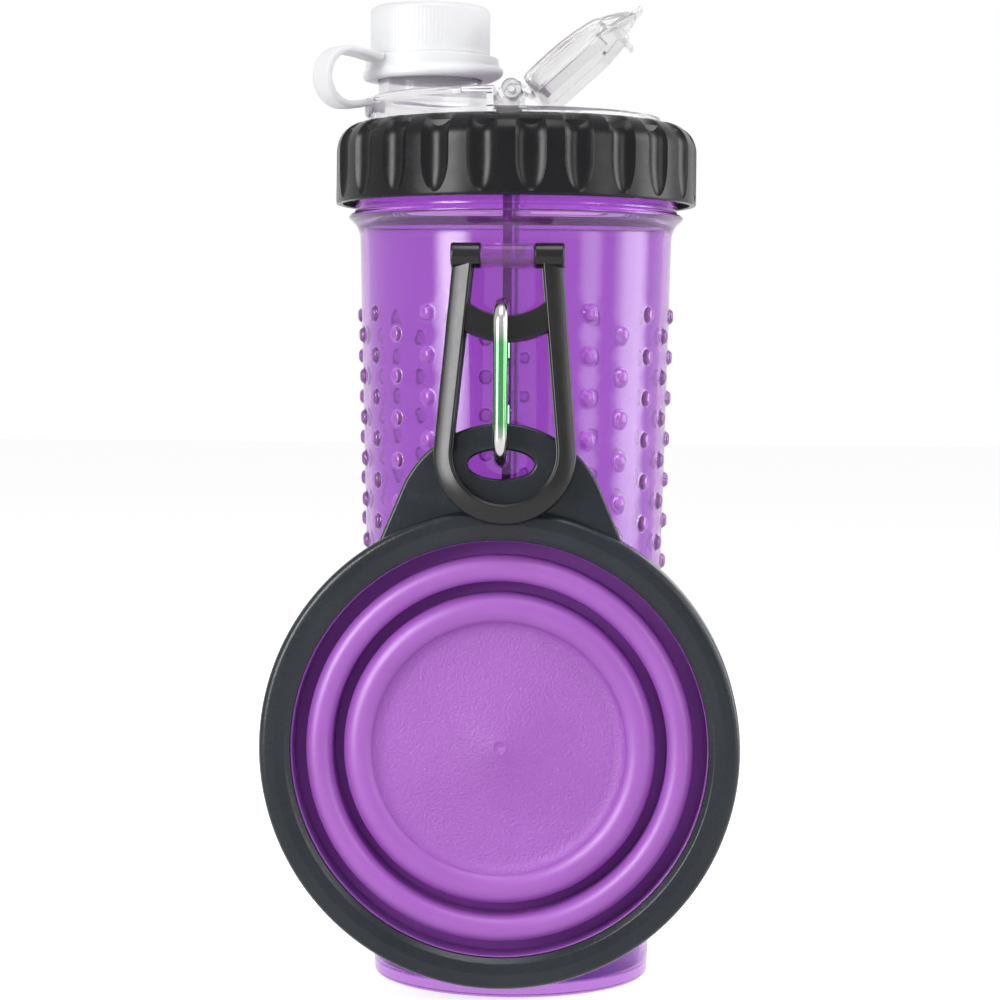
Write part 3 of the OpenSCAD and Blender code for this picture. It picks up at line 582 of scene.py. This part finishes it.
def collar():
    """Screw ring; its flutes are cuts of an arc's section that run out at foot and shoulder."""
    foot, top, out, rnd = COLLAR_Z, COLLAR_TOP, COLLAR_R, 7.0
    tip_z, tip_h = foot + 0.8, 8.6
    cells, across, land = 24, 12, 4
    depth, wide = 1.6, 3.75
    big = (wide * wide + depth * depth) / (2 * depth)
    pitch = 360.0 / cells
    outer = [(out - 0.5, foot), (out - 0.15, foot + 0.12), (out, foot + 0.45)]
    tips = [tip_z + tip_h * (i / 14) ** 2 for i in range(15)]
    outer += [(out, z) for z in tips]
    outer += [(out, tips[-1] + (top - rnd - tips[-1]) * i / 5) for i in range(1, 6)]
    outer += arc(out - rnd, top - rnd, rnd, 5, 90, 24)
    lip_in, seat_z = COLLAR_IN + 0.9, 213.0
    inner = [(MOUTH_R + 0.25, top), (MOUTH_R, top - 0.25), (MOUTH_R, seat_z),
             (COLLAR_IN, seat_z), (COLLAR_IN, foot + 2.6), (lip_in, foot + 1.8),
             (lip_in, foot + 0.2), (COLLAR_IN + 1.1, foot)]

    def flute(r, z):
        """At a point of the outside: half width, share of the full depth, way of the cut."""
        tip = clamp((z - tip_z) / tip_h)
        share = math.sqrt(max(0.0, 1 - (1 - tip) ** 2))
        w = wide * max(share, 0.02)
        share = share ** 1.3
        nr, nz = 1.0, 0.0
        if r < out - 0.01 and z > top - rnd:
            a = math.atan2(z - (top - rnd), r - (out - rnd))
            nr, nz = math.cos(a), math.sin(a)
            share *= max(0.0, nr) ** 0.8
            w *= 1 - 0.12 * (a / (math.pi / 2)) ** 2
        return w, share, nr, nz

    rows = []
    for i, (r, z) in enumerate(outer + inner):
        w, share, nr, nz = flute(r, z) if i < len(outer) else (wide * 0.5, 0.0, 1.0, 0.0)
        hw = math.degrees(w / out)
        row = []
        for c in range(cells):
            mid = (c + 0.5) * pitch
            for k in range(across + 1):
                t = -1 + 2 * k / across
                d = 0.0
                if share > 0.02:
                    d = (math.sqrt(big * big - (t * wide) ** 2) - (big - depth)) * share
                a = math.radians(mid + hw * t)
                rr, zz = r - d * nr, z - d * nz
                row.append((rr * math.cos(a), rr * math.sin(a), zz))
            for k in range(1, land):
                a = math.radians(mid + hw + (pitch - 2 * hw) * k / land)
                row.append((r * math.cos(a), r * math.sin(a), z))
        rows.append(row)
    b = Build()
    b.grid(rows, closed=True)
    b.add(helix(COLLAR_IN, 200.8, THREAD_PITCH, 1.0, 1.8, 1.8, sign=-1))
    b.make("screw_collar", "collar", BLACK, "black_plastic", ("collar",), sharp=32)


collar()


# ---- spout cap, ring and tether ----

def at_spout(p):
    return (p[0] + SPOUT_X, p[1], p[2])


def spout_cap():
    """Cap with fine ribs; its inside comes first, so that the rows run from there to the top."""
    ribs, per, rib_deep = 96, 4, 0.11
    wall, bore, crown = 15.1, 13.6, 1.6
    rib_rows = range(2, 13)
    n = ribs * per
    outer = [(wall, CAP_Z), (wall, CAP_Z + 0.35)]
    outer += [(wall, CAP_Z + 0.5 + i * 0.98) for i in range(len(rib_rows))]
    outer += arc(13.5, CAP_TOP - crown, crown, 0, 80, 7)
    outer += [(10.0, CAP_TOP - 0.02), (4.0, CAP_TOP)]
    inner = [(bore, 243.1), (bore, 227.3), (15.2, 227.3), (15.2, 228.5), (14.5, 229.9)]
    rows = [[(r * math.cos(TAU * k / n), r * math.sin(TAU * k / n), z) for k in range(n)]
            for r, z in inner]
    for i, (r, z) in enumerate(outer):
        on = 1.0 if i in rib_rows else (0.55 if i == rib_rows.stop else 0.0)
        row = []
        for k in range(n):
            a = TAU * k / n
            d = on * rib_deep * (0.5 - 0.5 * math.cos(TAU * k / per))
            row.append(((r - d) * math.cos(a), (r - d) * math.sin(a), z))
        rows.append(row)
    b = Build().loft(rows)
    b.add(helix(bore, 236.0, 3.0, 1.0, 1.3, 0.8, sign=-1))
    b.make("screw_cap", "cap", FROST, "frosted_plastic", ("spout_cap",), place=at_spout, sharp=50)


spout_cap()


def ring():
    """Ring with a round bead; the band pulls its outside a little down and to the right."""
    z0, z1 = RING_Z, RING_TOP
    prof = fillet([(13.4, z0), (15.9, z0 - 0.1, 0.5)] + arc(16.15, z0 + 1.75, 1.65, -78, 62, 10)
                  + [(16.85, z0 + 3.9, 0.4), (16.7, z1 - 0.2, 0.6), (15.4, z1, 0.3), (14.7, z1),
                     (14.7, 228.7), (15.4, 228.7), (15.4, 227.1), (13.4, 227.1)], 4)

    def place(p):
        k = clamp((math.hypot(p[0], p[1]) - 15.4) / 2.0)
        low = clamp((RING_TOP - 0.5 - p[2]) / 2.0)
        return at_spout((p[0] + 0.7 * k, p[1],
                         p[2] + k * low * (0.028 * p[0] + 0.05 * p[1])))
    lathe(prof, 128).make("cap_ring", "cap_carrier", FROST, "frosted_plastic", ("tether_ring",),
                          place=place, sharp=50)


ring()


def tether():
    """Band that leaves the lid's wall, bends back over itself and ends in the ring."""
    ang = math.radians(42.0)
    ux, uy = -math.cos(ang), -math.sin(ang)
    lid_r, off = 37.8, -SPOUT_X
    wall_s = math.sqrt(lid_r ** 2 - (off * math.sin(ang)) ** 2) - off * math.cos(ang)
    bend, low, r, t, w = wall_s + 8.0, 217.7, 7.7, 1.8, 6.5
    stud = low + t / 2 + 0.9
    path = [(wall_s + 1.95, stud), (wall_s + 3.2, stud - 0.2), (wall_s + 5.2, low + t / 2 + 0.22)]
    path += arc(bend, low + r, r - t / 2, -90, 90, 22)
    path += [(bend - 4.0, low + 2 * r - t / 2 - 0.35), (17.4, 231.0), (16.75, 230.9)]
    sec = fillet([(-w / 2, -t / 2, 0.6), (w / 2, -t / 2, 0.6), (w / 2, t / 2, 0.6),
                  (-w / 2, t / 2, 0.6)], 3)
    rows = []
    for i, (s, z) in enumerate(path):
        a, c = path[max(i - 1, 0)], path[min(i + 1, len(path) - 1)]
        ts, tz = c[0] - a[0], c[1] - a[1]
        ln = math.hypot(ts, tz)
        ns, nz = -tz / ln, ts / ln
        row = []
        for x, y in sec:
            ps, pz = s + ns * y, z + nz * y
            row.append((SPOUT_X + ux * ps - uy * x, uy * ps + ux * x, pz))
        rows.append(row)
    cross = ("lid", "cap_carrier", (0, 0, (low + 3.0) * MM), (0, 0, (low + 12.0) * MM))
    Build().loft(rows).make("tether_band", cross, BAND, "frosted_plastic", ("tether_strap",),
                            sharp=50)


tether()


# ---- hanger ----

def in_hanger(x, y, o):
    """(x, up, out) in the hanger's plane to the frame."""
    return (BAR_X + x, BAR_Y + y * math.sin(LEAN) - o * math.cos(LEAN),
            BAR_Z + y * math.cos(LEAN) + o * math.sin(LEAN))


def hanger():
    """Stirrup with sloped legs and a rim line inside, a web across it and an ear on each side."""
    bend_out, bend_in, reach = 16.9, 12.2, 64.5
    leg_out, leg_in, leg_top, leg_steps = 13.0, 7.7, 1.0, 8
    # section of the leg: place across it from inside (-1) to outside (1), height out
    section = [(-1.0, -1.4), (-0.85, -1.9), (-0.6, -2.05), (0.6, -2.05), (0.85, -1.9), (1.0, -1.4)]
    section += [(1.0, -0.2), (0.99, 0.1), (0.96, 0.35), (0.9, 0.55), (0.8, 0.72)]
    section += [(0.8 - 1.3 * k / 6, 0.72 + 1.32 * k / 6 + 0.1 * math.sin(math.pi * k / 6))
                for k in range(1, 7)]
    section += [(-0.58, 2.14), (-0.66, 2.16), (-0.74, 2.1), (-0.8, 1.95), (-0.84, 1.7),
                (-0.86, 1.2), (-0.86, 0.6), (-0.9, 0.5), (-0.97, 0.45), (-1.0, 0.3)]
    outer = arc(0, bend_out - reach, bend_out, 3.5, -183.5, 60)
    inner = arc(0, bend_out - reach, bend_in, 3.5, -183.5, 60)

    def leg(x, end, k):
        """Point k of the way down a straight edge of the leg."""
        return (x + (end[0] - x) * k, leg_top + (end[1] - leg_top) * k)
    pairs = [(leg(leg_out, outer[0], i / leg_steps), leg(leg_in, inner[0], i / leg_steps))
             for i in range(leg_steps)]
    stations = pairs + list(zip(outer, inner))
    stations += [((-o[0], o[1]), (-i[0], i[1])) for o, i in reversed(pairs)]
    rows = [[in_hanger(i[0] + (o[0] - i[0]) * (u + 1) / 2, i[1] + (o[1] - i[1]) * (u + 1) / 2, d)
             for u, d in section] for o, i in stations]
    Build().loft(rows).make("hanger_loop", "hanger", STIRRUP, "black_plastic", ("hanger",),
                            sharp=42)
    web = arc(0, 0, 21.0, -123, -57, 24) + arc(0, 0, 14.6, -48, -132, 28)
    slab("hanger_web", [web], 3.0, 0.5, "hanger", STIRRUP, "black_plastic", in_hanger, sharp=40)
    ear = fillet([(1.56, 6.5), (3.1, 6.5, 0.35), (3.1, 13.6, 0.6), (0.0, 13.6), (0.0, 11.3),
                  (1.56, 11.3)])
    for name, s in (("hanger_ear_l", -1), ("hanger_ear_r", 1)):
        lathe(ear, 48).make(
            name, "hanger", STIRRUP, "black_plastic", merge=0.0005, sharp=40,
            place=lambda p, s=s: (BAR_X + s * p[2], BAR_Y + p[0], BAR_Z + p[1]))


hanger()


# ---- snap hook ----

def snap_hook():
    """Bent wire, and a gate rod with a flat at each end for its pins."""
    r, wire = 5.6, 1.8
    path = [(GATE_Y, RIVET_Z + 1.3), (GATE_Y, RIM_MID)]
    path += [(WEB_Y + y, RIM_MID + z) for y, z in arc(0, 0, r, -10, -180, 18)]
    path += [(WEB_Y - r, RIM_MID + (WEB_Z - RIM_MID) * i / 6) for i in range(1, 6)]
    path += [(WEB_Y + y, WEB_Z + z) for y, z in arc(0, 0, r, 180, 0, 20)]
    path += [(GATE_Y, NOSE_Z - 1.0)]
    b = tube([(HOOK_X, y, z) for y, z in path], [wire] * len(path), 24)
    b.make("hook_wire", "hook", METAL, "hook_metal", ("carabiner_body",), sharp=60)
    g = tube([(HOOK_X, GATE_Y, z)
              for z in (RIVET_Z + 1.7, RIVET_Z + 2.5, NOSE_Z - 1.8, NOSE_Z - 1.5)],
             [0.5, 1.4, 1.4, 1.15], 20)
    flat = ((-0.6, -1.1), (0.6, -1.1), (0.6, 1.1), (-0.6, 1.1))
    for ends in ((RIVET_Z - 1.2, RIVET_Z + 2.6), (NOSE_Z - 2.0, NOSE_Z + 0.8)):
        g.loft([[(HOOK_X + x, GATE_Y + y, z) for x, y in flat] for z in ends])
    g.make("hook_gate", "gate", GATE, "hook_metal", ("carabiner_gate",), sharp=50)


snap_hook()


# ---- folding cup ----

def at_cup(p):
    return (HOOK_X + p[0], CUP_BACK - p[2], CUP_Z + p[1])


def cup():
    """Ring with its hang tab, and the soft cup in four rings, split at its living hinges."""
    r, deep, sleeve_r = CUP_R, CUP_DEEP, 51.0
    prof = fillet([(sleeve_r, 0.0), (r, 0.0, 1.8), (r, deep, 4.2), (53.6, deep, 1.6),
                   (51.2, deep - 0.4, 0.8), (49.8, deep - 1.6, 0.5), (49.8, 10.6),
                   (sleeve_r, 10.6)], 7)
    lathe(prof, 192).make("cup_ring", "cup", SLATE, "slate_plastic", ("bowl_frame",),
                          place=at_cup, sharp=45)
    tab_r, tab_mid, hole_w, hole_h = 25.785, 114.764, 7.9, 3.45
    flank = [(29.5, 111.0), (32.1, 109.2), (35.5, 107.1), (37.8, 105.1)]
    dome = arc(0, tab_mid, tab_r, 26, 154, 48) + [(-x, z) for x, z in flank]
    dome += arc(0, CUP_Z, 52.5, 131.9, 48.1, 40) + [(x, z) for x, z in reversed(flank)]
    hole = [(hole_w * math.cos(math.radians(a)), HOLE_Z + hole_h * math.sin(math.radians(a)))
            for a in range(0, 360, 6)]
    slab("cup_tab", [dome, hole], 3.0, 0.85, "cup", SLATE, "slate_plastic",
         lambda x, y, o: (HOOK_X + x, WEB_Y - o, y), sharp=40)

    back, soft = 0.3, 1.8  # height of the soft cup's back edge, thickness of its wall

    def ridge(r, w, top, web_r):
        """Fold: a hollow round ridge of radius r and width w, with a web out to web_r."""
        mid, half = r - w / 2, w / 2
        line = [(r - w, back)] + arc(mid, top - half, half, 180, 0, 18)
        line += [(r, back + soft + 1.2), (web_r, back + soft), (web_r, back)]
        line += [(r - soft, back)] + arc(mid, top - half, half - soft, 0, 180, 12)
        return line + [(r - w + soft, back)]
    sleeve = fillet([(49.6, back), (sleeve_r, back), (sleeve_r, 10.5), (49.6, 10.5, 0.4)])
    r = 29.6
    floor = fillet([(0.0, 8.08), (1.1, 8.08), (1.4, 8.32, 0.1), (1.8, 8.32, 0.1), (2.1, 8.2),
                    (26.6, 8.2), (27.6, 8.24), (28.5, 8.4), (29.2, 8.75), (29.75, 9.25),
                    (30.1, 9.7), (30.25, 9.86), (30.0, 9.45), (29.8, 9.0), (29.67, 8.5),
                    (r, 7.9), (r, back), (r - soft, back), (r - soft, 6.4, 0.8), (0.0, 6.4)], 4)
    for name, line, seg, body, mat, node_name, finish in (
            ("cup_sleeve", sleeve, 144, "cup", SOFT, "bowl_membrane_edge", {}),
            ("cup_outer_fold", ridge(46.2, 6.2, 12.2, 49.61), 192, "outer_fold", SOFT,
             "bowl_outer_fold", {"sharp": 50}),
            ("cup_inner_fold", ridge(37.3, 7.7, 11.5, 40.01), 192, "inner_fold", SOFT,
             "bowl_inner_fold", {"sharp": 50}),
            ("cup_floor_disc", floor, 144, "cup_floor", FLOOR, "bowl_floor",
             {"sharp": 50, "merge": 0.0005})):
        lathe(line, seg).make(name, body, mat, "purple_soft", (node_name,), place=at_cup,
                              **finish)


cup()


# ---- snack door ----

def at_door(p):
    """Closed door, about its hinge axis, to its open place at rest."""
    c, s = math.cos(DOOR_OPEN), math.sin(DOOR_OPEN)
    return (AXIS_X + p[0] * c - p[2] * s, p[1], AXIS_Z + p[0] * s + p[2] * c)


def snack_door():
    """Clear hatch: a bulged shell with a plug below, a latch leg, a thumb lip and the hinge."""
    foot = LOW_TOP + 0.2 - AXIS_Z
    cx = -AXIS_X
    near, plug = 3.4 - cx, 5.0 - cx
    round_r, half_w = 35.0, 26.0

    def outline(inset, near):
        """D shape, inset from the door's outer edge, with its straight side at x = near."""
        r, w = round_r - inset, half_w - inset
        t = math.degrees(math.asin(w / r)) - 7
        corner = r * math.cos(math.radians(t))
        flank = [near + (corner - 2.5 - near) * k / 5 for k in range(1, 5)]
        line = [(near, -w, 1.5)] + [(x, -w) for x in flank] + [(corner - 0.5, -w, 4.5)]
        line += arc(0, 0, r, -t, t, 36)
        line += [(corner - 0.5, w, 4.5)] + [(x, w) for x in reversed(flank)] + [(near, w, 1.5)]
        side = [(near, w - 2 - (2 * w - 4) * k / 8) for k in range(1, 8)]
        return [(x + cx, y) for x, y in fillet(line, 4) + side]

    def top(x):
        """Height of the bulged top."""
        t = clamp((x - 4.2) / 31.8)
        return -1.1 - 4.0 * t + 1.7 * math.sin(math.pi * t)

    # rows: inset, near side, depth under the top, lowest height; no depth means a level row
    outside = [(0.0, near, None, foot), (0.0, near, None, foot + 0.6),
               (0.0, near, -1.2, foot + 0.7), (0.12, near + 0.12, -0.75, foot + 0.8),
               (0.5, near + 0.5, -0.35, foot + 0.9), (1.1, near + 1.1, -0.1, foot + 1.0),
               (1.9, near + 1.9, 0.0, foot + 1.1)]
    inside = [(3.6, near + 3.6, -1.3, foot + 1.0), (2.2, near + 2.2, -1.5, foot + 0.97),
              (1.6, near + 1.6, -2.1, foot + 0.94), (1.5, near + 1.5, -2.8, foot + 0.9),
              (2.1, near + 1.6, None, foot + 0.8), (5.6, plug + 0.9, None, foot + 0.8),
              (5.7, plug + 0.9, None, foot + 0.6), (5.7, plug + 0.9, None, foot - 2.3),
              (4.7, plug - 0.2, None, foot - 2.4), (4.65, plug - 0.3, None, foot - 0.1),
              (4.5, plug - 0.4, None, foot)]

    def rows(table):
        return [[(x, y, z if down is None else max(top(x) + down, z))
                 for x, y in outline(inset, side)] for inset, side, down, z in table]
    b = Build()
    b.grid(rows(outside))
    start = len(b.v)
    m = start // len(outside)
    b.face(start - m, m)
    b.grid(rows(inside))
    b.face(start, m)
    last = len(b.v) - m
    for k in range(m):
        k2 = (k + 1) % m
        b.f.append((last + k, last + k2, k2, k))

    def piece(build, name, mat, reps=(), **finish):
        build.make(name, "door", mat, "clear_plastic", reps, place=at_door, sharp=40, **finish)
    bevel = 0.25
    for name, x0, x1, w, z0, z1 in (("snack_hatch_latch", 28.7, 29.9, 4.5, foot - 5.6, foot + 0.3),
                                    ("snack_hatch_lip", 34.4, 38.0, 6.0, foot, foot + 1.2)):
        box = fillet([(x0, -w), (x1, -w, 0.5), (x1, w, 0.5), (x0, w)], 4)
        mid = (x0 + x1) / 2
        levels = [(bevel, z0), (0.0, z0 + bevel), (0.0, z1 - bevel), (bevel, z1)]
        piece(Build().loft([[(mid + (x - mid) * (1 - d / (x1 - mid)), y * (1 - d / w), z)
                             for x, y in box] for d, z in levels]), name, HATCH)
    piece(b, "snack_hatch", HATCH, ("snack_door",), merge=0.0005)
    pin_r, barrel_r, barrel_end = 1.08, 2.4, 9.0
    barrel = lathe(fillet([(pin_r, -barrel_end), (barrel_r, -barrel_end, 0.4),
                           (barrel_r, barrel_end, 0.4), (pin_r, barrel_end)]), 40)
    barrel.v = [(p[0], p[2], p[1]) for p in barrel.v]
    piece(barrel, "snack_hatch_barrel", HINGE, merge=0.0005)
    edge = near + cx - 0.03
    tongue = fillet([(1.7, -1.9), (edge, -5.4, 0.5), (edge, -1.3, 0.2), (2.2, 1.35, 0.4),
                     (2.45, -0.6)], 4)
    piece(Build().loft([[(x, y, z) for x, z in tongue] for y in (-8.8, 8.8)]),
          "snack_hatch_tongue", HINGE)


snack_door()

# ---- carried-over solids ----
for n, m in (("gate_pivot_pin", GATE), ("gate_nose_pin", GATE), ("lid_insert", CLEAR),
             ("door_pin", CLEAR), ("tether_stud", BAND), ("lid_gasket", SEAL),
             ("cap_liner", SEAL)):
    NODES[n].data.materials.clear()
    NODES[n].data.materials.append(m)

# ---- floor, light and camera ----
scene = bpy.context.scene
scene.view_settings.view_transform = "Standard"
WHITE = (1, 1, 1, 1)


def backdrop_material():
    """White ground: keeps the object's shadow, and reads as white in the picture and in gloss."""
    m = bpy.data.materials.new("ground")
    m.use_nodes = True
    nt = m.node_tree
    nt.nodes.clear()
    dif = node(nt, "BsdfDiffuse", {"Color": (0.8, 0.8, 0.8, 1)})
    glow = calc(nt, "MULTIPLY", seen_straight(nt), 0.64)
    emi = node(nt, "Emission", {"Color": WHITE, "Strength": glow})
    add = node(nt, "AddShader", {0: dif.outputs[0], 1: emi.outputs[0]})
    node(nt, "OutputMaterial", {"Surface": add.outputs[0]})
    return m


def studio_floor():
    me = bpy.data.meshes.new("studio_floor")
    s = 6.0  # half its side, in metres
    me.from_pydata([(-s, -s, 0), (s, -s, 0), (s, s, 0), (-s, s, 0)], [], [(0, 1, 2, 3)])
    ground = bpy.data.objects.new("studio_floor", me)
    me.materials.append(backdrop_material())
    scene.collection.objects.link(ground)


studio_floor()


def studio_world():
    """White for the rays that see it straight, and a dimmer fill light for the rest."""
    world = bpy.data.worlds.new("studio")
    scene.world = world
    world.use_nodes = True
    nt = world.node_tree
    strength = map_range(nt, seen_straight(nt), 0.0, 1.0, 0.42, 1.0)
    put(nt, nt.nodes["Background"], {"Color": WHITE, "Strength": strength})


studio_world()


def soft_edge(light):
    """Lets a lamp fade towards its edges, so that gloss shows no hard-edged bar."""
    light.use_nodes = True
    nt = light.node_tree
    at = split(nt, nt.nodes.new("ShaderNodeNewGeometry").outputs["Parametric"])
    fades = [map_range(nt, calc(nt, "PINGPONG", at[axis], 0.5), 0.0, reach, 0.0, 1.0,
                       interpolation_type="SMOOTHSTEP")
             for axis, reach in (("X", 0.4), ("Y", 0.25))]
    put(nt, nt.nodes["Emission"], {"Strength": calc(nt, "MULTIPLY", *fades)})


# in metres and watts: name, place, target, width, height, power
LAMPS = (("softbox_left", (-0.62, -0.66, 0.38), (0, 0, 0.15), 0.62, 0.9, 13.5),
         ("softbox_right", (0.75, -0.45, 0.35), (0, 0, 0.13), 0.4, 0.9, 5.0),
         ("softbox_side", (0.88, 0.12, 0.32), (0, 0, 0.12), 0.75, 0.9, 15.0),
         ("softbox_top", (0.05, -0.3, 0.95), (0, 0, 0.12), 0.8, 0.6, 8.0),
         ("gloss_left", (-0.61, -0.65, 0.38), (0, 0, 0.15), 0.56, 0.85, 13.0))
GLOSS_ONLY = ("gloss_left",)
for name, loc, target, size_x, size_y, power in LAMPS:
    li = bpy.data.lights.new(name, "AREA")
    li.shape = "RECTANGLE"
    li.size, li.size_y = size_x, size_y
    li.energy = power
    soft_edge(li)
    ob = bpy.data.objects.new(name, li)
    scene.collection.objects.link(ob)
    ob.location = loc
    ob.rotation_mode = "QUATERNION"
    ob.rotation_quaternion = (Vector(target) - Vector(loc)).to_track_quat("-Z", "Y")
    ob.visible_transmission = False
    ob.visible_diffuse = name not in GLOSS_ONLY


def camera():
    """Placed by a fit to the photograph: distance from the axis, height, turn, pitch and roll."""
    dist, height, azim = 714.45, 150.83, math.radians(3.089)
    pitch, yaw, roll = math.radians(2.451), math.radians(0.286), math.radians(0.393)
    focal_px, frame_px, sensor = 2808.97, 1000.0, 36.0
    loc = Vector((dist * math.sin(azim), -dist * math.cos(azim), height)) * MM
    head = -azim - yaw
    fwd = Vector((math.sin(head) * math.cos(pitch), math.cos(head) * math.cos(pitch),
                  -math.sin(pitch)))
    right = Vector((math.cos(head), -math.sin(head), 0))
    up = right.cross(fwd)
    rolled_right = right * math.cos(roll) + up * math.sin(roll)
    rolled_up = up * math.cos(roll) - right * math.sin(roll)
    cam = bpy.data.cameras.new("camera")
    cam.sensor_width = sensor
    cam.lens = focal_px * sensor / frame_px
    cam.clip_start, cam.clip_end = 0.05, 50
    ob = bpy.data.objects.new("camera", cam)
    rot = Matrix((rolled_right, rolled_up, -fwd)).transposed().to_4x4()
    ob.matrix_world = Matrix.Translation(loc) @ rot
    scene.collection.objects.link(ob)
    scene.camera = ob


camera()
